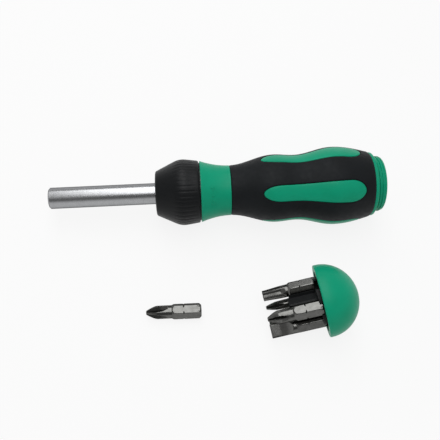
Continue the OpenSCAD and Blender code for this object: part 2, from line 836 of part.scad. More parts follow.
// The spring is closed in, so its coils are drawn as one sleeve
module plunger_spring() {
    color(steel) on_tool() translate([plunger_top + fit_gap, 0, plunger_z])
        rotate([0, 90, 0])
            tube(spring_d, spring_d - 2 * wire_d, 0, spring_len - fit_gap);
}

module plunger() {
    length = plunger_top - plunger_tip;
    color(steel) on_tool() translate([plunger_tip, 0, plunger_z])
        rotate([0, 90, 0])
            rotate_extrude()
                polygon(concat(edge([0, plunger_r], plunger_r, -90, 0), [[plunger_r, length], [0, length]]));
}

module rocker_outline() {
    arc_x = back_top - back_arc_r;
    foot_x = nose_reach * cos(nose_turn) + rocker_rise;
    side_y = rocker_foot - free_gap;
    back = [for (i = [0 : back_steps])
        let (y = rocker_ear * (1 - 2 * i / back_steps))
        [arc_x + sqrt(back_arc_r * back_arc_r - y * y), y]];
    difference() {
        polygon(concat(back,
            [[pin_r, -side_y], [foot_x, -rocker_foot], [foot_x, rocker_foot], [pin_r, side_y]]));
        circle(r = rocker_clear_r);
        translate([pin_r, 0])
            circle(d = pin_d + 2 * run_gap);
    }
}

module pawl_nose() {
    root_half_w = nose_half_w + nose_len * tan(nose_slope);
    translate([nose_reach, 0])
        polygon([[0, -nose_half_w], [nose_len, -root_half_w], [nose_len, root_half_w], [0, nose_half_w]]);
}

module rocker_pawl() {
    color(dark_steel) on_tool() translate([0, 0, rocker_z]) union() {
        linear_extrude(rocker_w)
            rocker_outline();
        for (side = [-1, 1]) {
            rotate([0, 0, side * nose_turn])
                linear_extrude(rocker_w)
                    pawl_nose();
        }
    }
}

module cap_profile() {
    cap_r = cap_d / 2;
    bore_r = cap_bore_d / 2;
    post_r = cap_post_d / 2;
    bowl_r = cap_bowl_d / 2;
    dome = [for (i = [0 : dome_steps])
        let (a = 90 * i / dome_steps)
        [cap_r * cos(a), cap_band + (cap_h - cap_band) * sin(a)]];
    crest_r = neck_d / 2 + free_gap;
    // The cap's ridges lie between those of the neck
    ridges = [for (i = [ridge_count - 1 : -1 : 0])
        let (z = ridge_pitch / 2 + i * ridge_pitch)
        each [[bore_r, z + ridge_shares[3] * ridge_pitch], [crest_r, z + ridge_shares[2] * ridge_pitch],
            [crest_r, z + ridge_shares[1] * ridge_pitch], [bore_r, z + ridge_shares[0] * ridge_pitch]]];
    polygon(concat(
        [[bore_r, 0], [cap_r - cap_bevel, 0], [cap_r, cap_bevel]],
        dome,
        [[0, cap_post_end], [post_r, cap_post_end], [post_r, cap_bowl_depth], [bowl_r, cap_bowl_depth],
            [bowl_r, cap_bore_depth], [bore_r, cap_bore_depth]],
        ridges));
}

module end_cap() {
    hole_len = holder_screw_len - head_seat - cap_post_end + 2 * overrun;
    color(green) on_cap() difference() {
        rotate_extrude()
            cap_profile();
        translate([0, 0, cap_post_end - overrun])
            cylinder(d = holder_screw_d + 2 * fit_gap, h = hole_len);
    }
}

// Screw with its head below the washer, its shank up in the cap's post
module holder_screw() {
    head_z = -head_seat - run_gap - washer_t - fit_gap;
    recess_af = holder_screw_d * cos(30);
    color(steel) on_cap() difference() {
        union() {
            translate([0, 0, head_z - holder_head_h])
                cylinder(d = holder_head_d, h = holder_head_h);
            translate([0, 0, head_z - fit_gap])
                cylinder(d = holder_screw_d, h = holder_screw_len + fit_gap);
        }
        translate([0, 0, head_z - holder_head_h - overrun])
            linear_extrude(overrun + holder_head_h / 2)
                hexagon(recess_af);
    }
}

module holder_washer() {
    color(steel) on_cap()
        tube(core_magnet_d - 2 * free_gap, holder_screw_d + 2 * fit_gap, -head_seat - run_gap - washer_t,
            -head_seat - run_gap);
}

module bit_holder() {
    color(black) on_cap() difference() {
        union() {
            translate([0, 0, -holder_show])
                cylinder(d = holder_d, h = holder_rear + holder_show);
            rotate([0, 0, holder_turn])
                translate([0, 0, -core_end])
                    linear_extrude(core_end)
                        hexagon(2 * core_flat);
            for (i = [0 : seat_count - 1]) {
                rotate([0, 0, holder_turn + (i + 1) * seat_pitch - seat_pitch / 2])
                    translate([core_flat, -rib_w / 2, rib_step - core_end])
                        cube([core_corner + rib_h - core_flat, rib_w, core_end - rib_step]);
            }
        }
        for (i = [0 : seat_count - 1]) {
            in_pocket(i);
        }
        translate([0, 0, cap_post_end - side_gap])
            cylinder(d = cap_post_d + 2 * run_gap, h = cap_bore_depth);
        translate([0, 0, -core_end])
            cylinder(d = holder_screw_d + 2 * run_gap, h = core_end + cap_bore_depth);
        translate([0, 0, -core_end - overrun])
            cylinder(d = core_magnet_d + 2 * fit_gap, h = core_hole_depth + overrun);
    }
}

// Round pocket in the base disc behind one bit
module in_pocket(i) {
    rotate([0, 0, holder_turn + i * seat_pitch])
        translate([seat_r, 0, -holder_show - overrun])
            cylinder(r = corner_r + bit_gap, h = pocket_depth + overrun);
}

module holder_magnet() {
    color(zinc) on_cap() translate([0, 0, -core_end + side_gap])
        cylinder(d = core_magnet_d, h = core_magnet_len);
}

// Hexagon shank of a bit, sloping to the given diameter at its front
module bit_shank(front_d) {
    difference() {
        intersection() {
            linear_extrude(hex_len)
                hexagon(bit_af);
            rotate_extrude()
                polygon([[0, 0], [corner_r - hex_bevel, 0], [corner_r, hex_bevel],
                    [corner_r, hex_len - slope_len], [front_d / 2, hex_len], [0, hex_len]]);
        }
        rotate_extrude()
            polygon([[notch_d / 2, notch_at], [notch_d / 2 + notch_w / 2, notch_at - notch_w / 2],
                [notch_d / 2 + notch_w / 2, notch_at + notch_w / 2]]);
    }
}

// Four leaning grooves leave the cross
module cross_bit(d) {
    cone_z = bit_len - cross_cone;
    color(dark_steel) union() {
        bit_shank(d);
        difference() {
            rotate_extrude()
                polygon([[0, hex_len - fit_gap], [d / 2, hex_len - fit_gap], [d / 2, cone_z],
                    [cross_end_d / 2, bit_len], [0, bit_len]]);
            for (i = [0 : 3]) {
                rotate([0, 0, 45 - wing_turn + 90 * i])
                    translate([flute_end_share * cross_end_d, 0, bit_len])
                        rotate([0, -cross_lean, 0])
                            translate([0, 0, -2 * cross_cone])
                                linear_extrude(3 * cross_cone)
                                    rotate(-45)
                                        square(cross_cut_w);
            }
        }
    }
}

module star_bit() {
    neck_r = lobe_neck_share * star_d / 2;
    star_z = bit_len - star_len;
    color(dark_steel) union() {
        bit_shank(2 * neck_r);
        rotate_extrude()
            polygon([[0, hex_len - fit_gap], [neck_r, hex_len - fit_gap], [neck_r, star_z - slope_len],
                [star_d / 2, star_z], [0, star_z]]);
        translate([0, 0, star_z - fit_gap])
            linear_extrude(star_len + fit_gap)
                difference() {
                    circle(d = star_d);
                    for (i = [0 : 5]) {
                        rotate(60 * i)
                            translate([lobe_place_share * star_d / 2, 0])
                                circle(d = lobe_cut_share * star_d);
                    }
                }
    }
}

module slotted_bit() {
    blade_z = bit_len - blade_len;
    run_out = blade_len * (1 - blade_flat_share);
    side = [for (i = [0 : blade_steps])
        let (left = 1 - i / blade_steps)
        [blade_t / 2 + (bit_af - blade_t) / 2 * left * left, blade_z - fit_gap + run_out * (1 - left)]];
    color(dark_steel) union() {
        bit_shank(bit_af);
        rotate_extrude()
            polygon([[0, hex_len - fit_gap], [bit_af / 2, hex_len - fit_gap], [bit_af / 2, blade_z],
                [0, blade_z]]);
        intersection() {
            rotate([90, 0, 0])
                linear_extrude(bit_af, center = true)
                    polygon([[-bit_af / 2, blade_z - fit_gap], [bit_af / 2, blade_z - fit_gap],
                        [blade_w / 2, bit_len], [-blade_w / 2, bit_len]]);
            rotate([90, 0, 90])
                linear_extrude(bit_af, center = true)
                    polygon(concat(side, [[blade_t / 2, bit_len], [-blade_t / 2, bit_len]],
                        [for (p = reversed(side)) [-p[0], p[1]]]));
            cylinder(d = bit_af, h = bit_len + overrun);
        }
    }
}

module hexagon_bit() {
    color(dark_steel) union() {
        bit_shank(bit_af);
        rotate_extrude()
            polygon([[0, hex_len - fit_gap], [bit_af / 2, hex_len - fit_gap],
                [bit_af / 2, bit_len - star_len], [0, bit_len - star_len]]);
        translate([0, 0, bit_len - star_len - fit_gap])
            linear_extrude(star_len + fit_gap)
                hexagon(key_tip_af);
    }
}

module bit_cross_large() {
    in_seat(0, cross_large_turn) cross_bit(cross_large_d);
}

module bit_slotted() {
    in_seat(1, slotted_turn) slotted_bit();
}

module bit_hexagon() {
    in_seat(lowest_seat, 0) hexagon_bit();
}

module bit_cross_small() {
    in_seat(3, 0) cross_bit(cross_small_d);
}

module bit_star() {
    in_seat(4, star_turn) star_bit();
}

// Lies on one flat with its tip towards -X
module loose_bit() {
    translate([loose_x + bit_len, loose_y, bench_z + bit_af / 2])
        rotate([0, -90, 0])
            cross_bit(cross_large_d);
}

handle_core();
grip_sleeve();
ratchet_housing();
nose_bush();
flange_screws_set();
pawl_pin();
selector_clip();
rear_bush();
drive_shaft();
ratchet_gear();
socket_magnet();
thrust_washer();
shaft_clip();
selector_collar();
plunger_spring();
plunger();
rocker_pawl();
end_cap();
holder_screw();
holder_washer();
bit_holder();
holder_magnet();
bit_cross_large();
bit_slotted();
bit_hexagon();
bit_cross_small();
bit_star();
loose_bit();
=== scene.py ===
import json
import math

import bmesh
import bpy
from mathutils import Matrix, Vector


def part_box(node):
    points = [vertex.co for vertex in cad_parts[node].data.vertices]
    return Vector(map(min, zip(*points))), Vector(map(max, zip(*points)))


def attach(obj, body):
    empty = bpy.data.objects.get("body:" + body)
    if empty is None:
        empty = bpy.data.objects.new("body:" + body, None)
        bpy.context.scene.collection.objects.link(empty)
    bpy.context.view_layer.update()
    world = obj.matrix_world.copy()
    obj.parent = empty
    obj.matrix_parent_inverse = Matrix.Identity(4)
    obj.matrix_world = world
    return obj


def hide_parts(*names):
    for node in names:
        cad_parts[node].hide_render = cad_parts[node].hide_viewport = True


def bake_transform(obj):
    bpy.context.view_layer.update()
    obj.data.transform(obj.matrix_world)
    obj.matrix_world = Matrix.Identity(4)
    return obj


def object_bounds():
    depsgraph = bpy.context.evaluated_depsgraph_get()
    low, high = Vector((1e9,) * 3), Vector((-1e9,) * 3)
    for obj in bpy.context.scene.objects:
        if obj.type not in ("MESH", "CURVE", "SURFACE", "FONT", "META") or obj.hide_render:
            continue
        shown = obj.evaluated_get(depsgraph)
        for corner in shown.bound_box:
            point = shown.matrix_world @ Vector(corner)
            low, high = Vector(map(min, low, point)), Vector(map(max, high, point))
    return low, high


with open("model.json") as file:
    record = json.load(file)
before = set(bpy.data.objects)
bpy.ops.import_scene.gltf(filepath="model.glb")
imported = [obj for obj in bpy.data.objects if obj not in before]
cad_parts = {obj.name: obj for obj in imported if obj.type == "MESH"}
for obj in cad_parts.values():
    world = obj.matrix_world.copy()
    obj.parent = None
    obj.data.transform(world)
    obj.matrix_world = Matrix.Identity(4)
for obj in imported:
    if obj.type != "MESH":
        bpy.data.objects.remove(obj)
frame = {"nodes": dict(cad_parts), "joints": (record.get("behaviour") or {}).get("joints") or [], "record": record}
cad_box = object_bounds()

# Lengths are millimetres, which the placing matrices turn into the frame's metres
MM = 0.001
UP = Vector((0, 0, 1))

# Selector collar: places from the tool's tip, radii and roundings
COLLAR_FROM = 50.0
COLLAR_PEAK = 61.5
COLLAR_TO = 70.5
LIP_FROM = 69.6
LIP_TO = 70.85
RECESS_TO = 52.8
CAVITY_FROM = 59.2
COLLAR_FRONT_R = 10.4
COLLAR_R = 15.95
COLLAR_REAR_R = 14.7
NOSE_R = 7.64
RECESS_R = 8.9
CAVITY_R = 14.0
LIP_R = 13.02
LIP_OUT_R = 13.7
COLLAR_EDGE = 0.8
COLLAR_PEAK_ROUND = 3.0
COLLAR_STEP = 0.6

# Flutes of the collar
FLUTES = 40
FLUTE_DEPTH = 0.13
FLUTE_STEPS = 12
FLUTE_RUN = 4.5
FLUTE_POWER = 1.5

# Spring behind the plunger
COIL_R = 0.83
COIL_LEN = 1.4
COIL_TURNS = 2.5
COIL_STEPS = 60
COIL_WIRE_R = 0.1
COIL_WIRE_STEPS = 10

# Green ring, and the bores of the handle core
RING_FROM = 71.0
RING_R = 14.5
RING_EDGE = 0.3
RING_WAIST_R = 11.9
RING_STEPS = 28
SPIGOT_R = 9.02
SPIGOT_TO = 88.2
STORAGE_R = 12.02
STORAGE_FROM = 121.5
STORAGE_EDGE = 0.1

# Rim behind the grip, and the neck with its helical ridge
RIM_R = 15.25
RIM_TO = 153.1
RIM_GAP = 0.02
RIM_FRONT_EDGE = 0.15
RIM_EDGE = 0.7
RIM_FOOT = 0.2
NECK_R = 12.82
NECK_EDGE = 0.4
NECK_START = 0.25
NECK_STOP = 0.05
NECK_STEPS = 44
TOOL_END = 157.5
RIDGE_PITCH = 1.33
RIDGE_H = 0.45
RIDGE_FOOT_SHARE = 0.2
RIDGE_TOP_SHARE = 0.8

# Grip
GRIP_FROM = 85.0
GRIP_TO = 151.5
GRIP_STEPS = 40
GRIP_WALL = 1.5
GRIP_END_R = 15.55
GRIP_END_ROUND = 0.7
BULGE_FRONT = 106.5
BULGE_FRONT_R = 16.15
WAIST = 116.0
WAIST_R = 15.55
BULGE_REAR = 134.5
BULGE_REAR_R = 18.6
TAIL_WAVE = 33.6

# Inlays, laid out flat on a cylinder of this radius
INLAYS = 5
INLAY_TURN = 38.0
INLAY_FLAT_R = 17.0
INLAY_FRONT = 108.2
INLAY_FRONT_LEN = 8.6
INLAY_FRONT_W = 4.15
INLAY_REAR = 139.6
INLAY_REAR_LEN = 6.9
INLAY_REAR_W = 4.95
ARC_STEPS = 24
SIDE_STEPS = 40
SPREAD_STEPS = 14
SPREAD_POWER = 1.3
FILL_STEPS = 5

# Seams round the inlays, with the lip's steps as distance from the seam and share of its depth
SEAM = 0.09
SEAM_LIP = 0.45
SEAM_DEPTH = 0.32
SEAM_LIP_STEPS = ((0, 1), (0.08, 0.45), (0.2, 0.12), (SEAM_LIP, 0))
SKIN = 1.0

# Marks on the ring
MARK_AT = 76.5
MARK_H = 0.22
MARK_PITCH = 15.0
MARK_SIDE_SHARE = 0.7
MARK_TOP_SHARE = 0.88
ARROW_TAIL = 1.2
ARROW_TIP = 1.4
ARROW_NECK = 0.2
ARROW_HALF_W = 0.35
ARROW_HEAD_HALF_W = 1.0
DOT_R = 0.55
DOT_STEPS = 24

# Cap, measured from its rim
CAP_R = 16.2
CAP_H = 16.6
CAP_BAND = 1.0
CAP_CROWN_TURN = 1.56
CAP_CROWN_STEPS = 48
CAP_EDGE_IN = 0.25
CAP_EDGE_OUT = 0.5
CAP_BORE_R = 13.47
CAP_BORE_DEPTH = 6.6
CAP_BORE_MARGIN = 0.4
CAP_BORE_STEPS = 60
CAP_RIDGE_H = 0.3
CAP_RIDGE_STOP = 1.6
BOWL_R = 9.0
BOWL_DEPTH = 10.5
POST_R = 3.0
POST_END = 1.0

# Seats of the stored bits, and how far each bit is turned in its seat
SEAT_R = 8.15
SEAT_TURN = 33.0
SEAT_PITCH = 60.0
BIT_REAR = -0.35
CROSS_LARGE_TURN = 20
SLOTTED_TURN = 12
STAR_TURN = 6

# Shank of a bit
BIT_AF = 6.35
BIT_LEN = 25.0
BIT_CORNER = 0.06
BIT_END = 0.12
HEX_LEN = 13.4
HEX_BEVEL = 1.0
SLOPE = 1.1
NOTCH_AT = 8.0
NOTCH_HALF = 0.45
NOTCH_R = 3.25
TIP_STEPS = 48

# Tips of the bits
CROSS_LARGE_R = 3.0
CROSS_SMALL_R = 2.1
CROSS_CONE = 5.0
CROSS_POWER = 1.4
CROSS_END_R = 0.85
GROOVE_ROOT = 0.45
GROOVE_LEAN = 0.12
GROOVE_LEN = 6.0
GROOVE_END = 0.09
WING_TURN = math.pi / 6
STAR_R = 2.4
STAR_LEN = 9.2
STAR_GROOVE = 0.22
STAR_POWER = 0.8
STAR_FLARE = 0.45
KEY_FLAT = 2.5
KEY_LEN = 7.5
BLADE_LEN = 10.0
BLADE_HALF_W = 3.15
BLADE_HALF_T = 0.5
BLADE_RUN = 6.0

# Meshing
ROUND = 160
BIT_ROUND = 144
CORNER_STEPS = 5
POINT_R = 0.05
LEAST = 0.01
WELD = 0.002
SMOOTH_ANGLE = math.pi / 6
SKIN_SMOOTH_ANGLE = math.pi / 3

# Surroundings, in metres and linear colours
FLOOR_SIZE = 4.0
FLOOR_GLOW = 0.86
FLOOR_COLOUR = (0.8, 0.8, 0.8, 1)
SKY_LOW = (0.92, 0.92, 0.92, 1)
SKY_HIGH = (0.42, 0.42, 0.42, 1)
SKY_LOW_AT = 0.1
SKY_HIGH_AT = 0.4
DIM_SIDE = Vector((-0.08, -0.74, 0.67))
DIM_FROM = 0.93
DIM_TO = 0.98
DIM_SHARE = 0.35
LAMP_PLACE = Vector((0.03, 0.17, 0.6))
LAMP_TARGET = Vector((0.05, -0.02, 0))
LAMP_WIDTH = 0.3
LAMP_HEIGHT = 0.95
LAMP_POWER = 2.95

# The camera of the photo, in metres and degrees, with its focal length in frame widths
CAMERA_TARGET = Vector((0.079596, -0.013954, 0.0))
CAMERA_DISTANCE = 0.27682
CAMERA_TURN = -11.514
CAMERA_RISE = 64.089
CAMERA_ROLL = 8.635
CAMERA_FOCUS = 1.33016
CAMERA_NEAR = 0.01
SENSOR = 36.0

# The part of a noise texture's range that its effects are spread over
NOISE_LOW = 0.3
NOISE_HIGH = 0.7


def srgb(red, green, blue):
    """A screen colour from 0 to 255 as the linear colour that a shader takes."""
    def linear(value):
        share = value / 255
        return share / 12.92 if share <= 0.04045 else ((share + 0.055) / 1.055) ** 2.4
    return (linear(red), linear(green), linear(blue), 1.0)


# Materials


def new_material(name):
    material = bpy.data.materials.new(name)
    material.use_nodes = True
    return material, material.node_tree, material.node_tree.nodes["Principled BSDF"]


def noise(tree, scale, detail=3.0):
    """Noise over the piece, with scale in cycles a metre."""
    coords = tree.nodes.new("ShaderNodeTexCoord")
    texture = tree.nodes.new("ShaderNodeTexNoise")
    texture.inputs["Scale"].default_value = scale
    texture.inputs["Detail"].default_value = detail
    tree.links.new(coords.outputs["Object"], texture.inputs["Vector"])
    return texture.outputs["Fac"]


def vary_colour(tree, shader, source, dark, light):
    """Base colour that drifts between two near tones."""
    tones = tree.nodes.new("ShaderNodeValToRGB")
    tones.color_ramp.elements[0].position = NOISE_LOW
    tones.color_ramp.elements[1].position = NOISE_HIGH
    tones.color_ramp.elements[0].color = dark
    tones.color_ramp.elements[1].color = light
    tree.links.new(source, tones.inputs["Fac"])
    tree.links.new(tones.outputs["Color"], shader.inputs["Base Color"])


def vary_roughness(tree, shader, source, low, high):
    spread = tree.nodes.new("ShaderNodeMapRange")
    spread.inputs["From Min"].default_value = NOISE_LOW
    spread.inputs["From Max"].default_value = NOISE_HIGH
    spread.inputs["To Min"].default_value = low
    spread.inputs["To Max"].default_value = high
    tree.links.new(source, spread.inputs["Value"])
    tree.links.new(spread.outputs["Result"], shader.inputs["Roughness"])


def add_bump(tree, shader, source, depth, strength):
    """Bump with depth in millimetres."""
    bump = tree.nodes.new("ShaderNodeBump")
    bump.inputs["Strength"].default_value = strength
    bump.inputs["Distance"].default_value = depth * MM
    tree.links.new(source, bump.inputs["Height"])
    tree.links.new(bump.outputs["Normal"], shader.inputs["Normal"])


def green_plastic():
    material, tree, shader = new_material("green_plastic")
    shader.inputs["Specular IOR Level"].default_value = 0.14
    vary_colour(tree, shader, noise(tree, scale=90), dark=srgb(8, 146, 110), light=srgb(12, 154, 118))
    vary_roughness(tree, shader, noise(tree, scale=700), low=0.34, high=0.42)
    add_bump(tree, shader, noise(tree, scale=1400, detail=2), depth=0.02, strength=0.2)
    return material


def grip_rubber():
    material, tree, shader = new_material("grip_rubber")
    shader.inputs["Specular IOR Level"].default_value = 0.14
    vary_colour(tree, shader, noise(tree, scale=120), dark=srgb(17, 20, 22), light=srgb(22, 25, 28))
    vary_roughness(tree, shader, noise(tree, scale=500), low=0.5, high=0.62)
    add_bump(tree, shader, noise(tree, scale=5200, detail=2), depth=0.03, strength=0.4)
    return material


def black_plastic():
    material, tree, shader = new_material("black_plastic")
    shader.inputs["Specular IOR Level"].default_value = 0.18
    vary_colour(tree, shader, noise(tree, scale=160), dark=srgb(12, 14, 16), light=srgb(16, 18, 20))
    vary_roughness(tree, shader, noise(tree, scale=900), low=0.38, high=0.48)
    add_bump(tree, shader, noise(tree, scale=4200, detail=2), depth=0.02, strength=0.3)
    return material


def metal(name, dark, light, low, high, grain, edge=1.0):
    """Bare metal of two tones and a range of roughness, with edge as its tint where seen at a slant."""
    material, tree, shader = new_material(name)
    shader.inputs["Metallic"].default_value = 1.0
    shader.inputs["Specular Tint"].default_value = (edge, edge, edge, 1)
    vary_colour(tree, shader, noise(tree, scale=grain / 4), dark, light)
    vary_roughness(tree, shader, noise(tree, scale=grain, detail=4), low, high)
    add_bump(tree, shader, noise(tree, scale=grain * 1.6), depth=0.006, strength=0.2)
    return material


def satin_chrome():
    dark, light = srgb(158, 159, 161), srgb(166, 167, 169)
    return metal("satin_chrome", dark, light, low=0.24, high=0.30, grain=2600, edge=0.25)


def zinc_casting():
    dark, light = srgb(120, 122, 125), srgb(140, 142, 145)
    return metal("zinc_casting", dark, light, low=0.42, high=0.58, grain=900)


def machined_steel():
    dark, light = srgb(150, 151, 153), srgb(172, 173, 175)
    return metal("machined_steel", dark, light, low=0.26, high=0.38, grain=1500)


def dark_steel():
    dark, light = srgb(70, 71, 73), srgb(92, 93, 95)
    return metal("dark_steel", dark, light, low=0.34, high=0.46, grain=1200)


def bit_steel():
    dark, light = srgb(90, 90, 88), srgb(104, 104, 102)
    return metal("bit_steel", dark, light, low=0.18, high=0.26, grain=2600, edge=0.3)


def bronze():
    dark, light = srgb(150, 112, 62), srgb(178, 138, 82)
    return metal("bronze", dark, light, low=0.38, high=0.50, grain=1300)


def magnet():
    dark, light = srgb(160, 162, 165), srgb(182, 184, 187)
    return metal("magnet", dark, light, low=0.18, high=0.28, grain=900)


MATERIALS = {
    "green_plastic": green_plastic(),
    "grip_rubber": grip_rubber(),
    "black_plastic": black_plastic(),
    "satin_chrome": satin_chrome(),
    "zinc_casting": zinc_casting(),
    "machined_steel": machined_steel(),
    "dark_steel": dark_steel(),
    "bit_steel": bit_steel(),
    "bronze": bronze(),
    "magnet": magnet(),
}


def finish_cad_nodes():
    """Every piece that stays as it was drawn takes its slot's material."""
    for row in frame["record"]["subparts"]:
        mesh = frame["nodes"][row["node"]].data
        mesh.materials.clear()
        mesh.materials.append(MATERIALS[row["material_slot"]])
        mesh.shade_smooth()
        mesh.set_sharp_from_angle(angle=SMOOTH_ANGLE)


# Placing and meshing


def axis_frame(origin, axis):
    """Local z along the axis, local x as near to up as it can be, from millimetres to metres."""
    along = Vector(axis).normalized()
    upward = (UP - UP.dot(along) * along).normalized()
    turn = Matrix((upward, along.cross(upward), along)).transposed().to_4x4()
    return Matrix.Translation(origin) @ turn @ Matrix.Scale(MM, 4)


JOINTS = {joint["name"]: joint for joint in frame["joints"]}
TOOL = axis_frame(JOINTS["shaft_turn"]["pos_m"], JOINTS["shaft_turn"]["axis"])
CAP = axis_frame(JOINTS["holder_swivel"]["pos_m"], JOINTS["holder_swivel"]["axis"])


def seat_frame(seat, turn=0):
    """Local z from a stored bit's rear end to its tip, with the bit turned in its seat."""
    place = Matrix.Rotation(math.radians(SEAT_TURN + SEAT_PITCH * seat), 4, "Z")
    place @= Matrix.Translation((SEAT_R, 0, -BIT_REAR))
    return CAP @ place @ Matrix.Rotation(math.radians(turn), 4, "Z") @ Matrix.Rotation(math.pi, 4, "X")


def loose_frame():
    """Local z from the loose bit's rear end to its tip."""
    low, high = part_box("loose_bit")
    rear = Vector((high[0], (low[1] + high[1]) / 2, (low[2] + high[2]) / 2))
    return Matrix.Translation(rear) @ Matrix.Rotation(-math.pi / 2, 4, "Y") @ Matrix.Scale(MM, 4)


def add_piece(name, skin, place, slot, body, replaces=(), smooth=SMOOTH_ANGLE):
    """A piece of the object. One with no body is left unattached."""
    verts, faces = skin
    mesh = bpy.data.meshes.new(name)
    mesh.from_pydata([place @ Vector(v) for v in verts], [], faces)
    tidy = bmesh.new()
    tidy.from_mesh(mesh)
    bmesh.ops.remove_doubles(tidy, verts=tidy.verts, dist=WELD * MM)
    bmesh.ops.recalc_face_normals(tidy, faces=tidy.faces)
    tidy.to_mesh(mesh)
    tidy.free()
    mesh.shade_smooth()
    mesh.set_sharp_from_angle(angle=smooth)
    mesh.materials.append(MATERIALS[slot])
    obj = bpy.data.objects.new(name, mesh)
    bpy.context.scene.collection.objects.link(obj)
    if body:
        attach(obj, body)
    if replaces:
        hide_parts(*replaces)
    return obj


def loft(rings, ends=True):
    """Vertices and faces of a skin over rings of equal count, with flat ends or none."""
    count = len(rings[0])
    verts = [point for ring in rings for point in ring]
    faces = []
    for k in range(len(rings) - 1):
        for i in range(count):
            j = (i + 1) % count
            faces.append((k * count + i, k * count + j, (k + 1) * count + j, (k + 1) * count + i))
    if ends:
        faces.append(tuple(range(count)))
        faces.append(tuple(range(len(verts) - count, len(verts))))
    return verts, faces


def turned(profile, count, extra):
    """Rings about local z through points of radius and height. extra(k, z, angle) adds to the radius."""
    rings = []
    for k, (r, z) in enumerate(profile):
        ring = []
        for i in range(count):
            angle = 2 * math.pi * i / count
            reach = r + extra(k, z, angle)
            ring.append((reach * math.cos(angle), reach * math.sin(angle), z))
        rings.append(ring)
    return rings


def rounded(corners):
    """Profile points with each corner (radius, height, cut) rounded off over its cut length."""
    points = []
    for k, (r, z, cut) in enumerate(corners):
        if cut == 0:
            points.append((r, z))
            continue
        here = Vector((r, z))
        start = here + (Vector(corners[k - 1][:2]) - here).normalized() * cut
        end = here + (Vector(corners[k + 1][:2]) - here).normalized() * cut
        for s in span(0, 1, CORNER_STEPS):
            point = start * (1 - s) ** 2 + here * 2 * s * (1 - s) + end * s ** 2
            points.append((point.x, point.y))
    return points


def span(low, high, steps):
    """Evenly spaced values from low to high, both included."""
    return [low + (high - low) * i / steps for i in range(steps + 1)]


def between(start, end, share):
    """Points part of the way from one list of points to another."""
    return [tuple(a + (b - a) * share for a, b in zip(p, q)) for p, q in zip(start, end)]


def wave(z, z0, z1, r0, r1):
    """A cosine step from r0 at z0 to r1 at z1."""
    return r0 + (r1 - r0) * (1 - math.cos(math.pi * (z - z0) / (z1 - z0))) / 2


def ramp(value, low, high):
    """Smooth rise from 0 at low to 1 at high."""
    share = min(1.0, max(0.0, (value - low) / (high - low)))
    return share * share * (3 - 2 * share)


TAIL_SHARE = (1 - math.cos(math.pi * (GRIP_TO - BULGE_REAR) / TAIL_WAVE)) / 2
TAIL_FALL = (BULGE_REAR_R - GRIP_END_R) / TAIL_SHARE


def grip_r(z):
    """Outside radius of the grip."""
    if z < BULGE_FRONT:
        return wave(z, GRIP_FROM, BULGE_FRONT, RING_WAIST_R, BULGE_FRONT_R)
    if z < WAIST:
        return wave(z, BULGE_FRONT, WAIST, BULGE_FRONT_R, WAIST_R)
    if z < BULGE_REAR:
        return wave(z, WAIST, BULGE_REAR, WAIST_R, BULGE_REAR_R)
    return wave(z, BULGE_REAR, BULGE_REAR + TAIL_WAVE, BULGE_REAR_R, BULGE_REAR_R - TAIL_FALL)


def ring_r(z):
    """Outside radius of the green ring."""
    left = (GRIP_FROM - z) / (GRIP_FROM - RING_FROM - RING_EDGE)
    return RING_WAIST_R + (RING_R - RING_WAIST_R) * left ** 2


def thread(z, angle, height, low, high):
    """Rise of a helical ridge that fades out at low and high."""
    share = 0.5 + 0.5 * math.cos(2 * math.pi * z / RIDGE_PITCH - angle)
    fade = ramp(z, low, low + RIDGE_PITCH / 2) * ramp(-z, -high, -high + RIDGE_PITCH / 2)
    return height * fade * ramp(share, RIDGE_FOOT_SHARE, RIDGE_TOP_SHARE)


# Pieces of the tool


def selector_collar():
    outside = rounded([
        (RECESS_R, COLLAR_FROM, 0),
        (COLLAR_FRONT_R, COLLAR_FROM, COLLAR_EDGE),
        (COLLAR_R, COLLAR_PEAK, COLLAR_PEAK_ROUND),
        (COLLAR_REAR_R, COLLAR_TO, COLLAR_EDGE),
        (LIP_OUT_R, COLLAR_TO, 0),
    ])
    profile = [(NOSE_R, RECESS_TO), (RECESS_R, RECESS_TO)]
    fluted_from = len(profile) + 1
    for start, end in zip(outside, outside[1:]):
        steps = max(1, round((end[1] - start[1]) / COLLAR_STEP))
        profile += [between([start], [end], s)[0] for s in span(0, 1, steps)[:-1]]
    fluted_to = len(profile)
    profile += [(LIP_OUT_R, COLLAR_TO), (LIP_OUT_R, LIP_TO), (LIP_R, LIP_TO), (LIP_R, LIP_FROM)]
    profile += [(CAVITY_R, LIP_FROM), (CAVITY_R, CAVITY_FROM), (NOSE_R, CAVITY_FROM), (NOSE_R, RECESS_TO)]

    def flute(k, z, angle):
        if not fluted_from <= k < fluted_to:
            return 0
        rise = ramp(z, COLLAR_PEAK - FLUTE_RUN, COLLAR_PEAK)
        fall = ramp(COLLAR_TO - z, 0, FLUTE_RUN)
        return -FLUTE_DEPTH * rise * fall * max(0, math.cos(FLUTES * angle)) ** FLUTE_POWER

    rings = turned(profile, FLUTES * FLUTE_STEPS, flute)
    add_piece("collar_skin", loft(rings, False), TOOL, "black_plastic", "selector", ("selector_collar",))


def coil_rings():
    """Rings along a coil about local z, with its middle at 0."""
    rings = []
    run = COIL_LEN / 2 - COIL_WIRE_R
    for share in span(0, 1, COIL_STEPS):
        turn = 2 * math.pi * COIL_TURNS * share
        ring = []
        for around in span(0, 2 * math.pi, COIL_WIRE_STEPS)[:-1]:
            r = COIL_R + COIL_WIRE_R * math.cos(around)
            height = run * (2 * share - 1) + COIL_WIRE_R * math.sin(around)
            ring.append((r * math.cos(turn), r * math.sin(turn), height))
        rings.append(ring)
    return rings


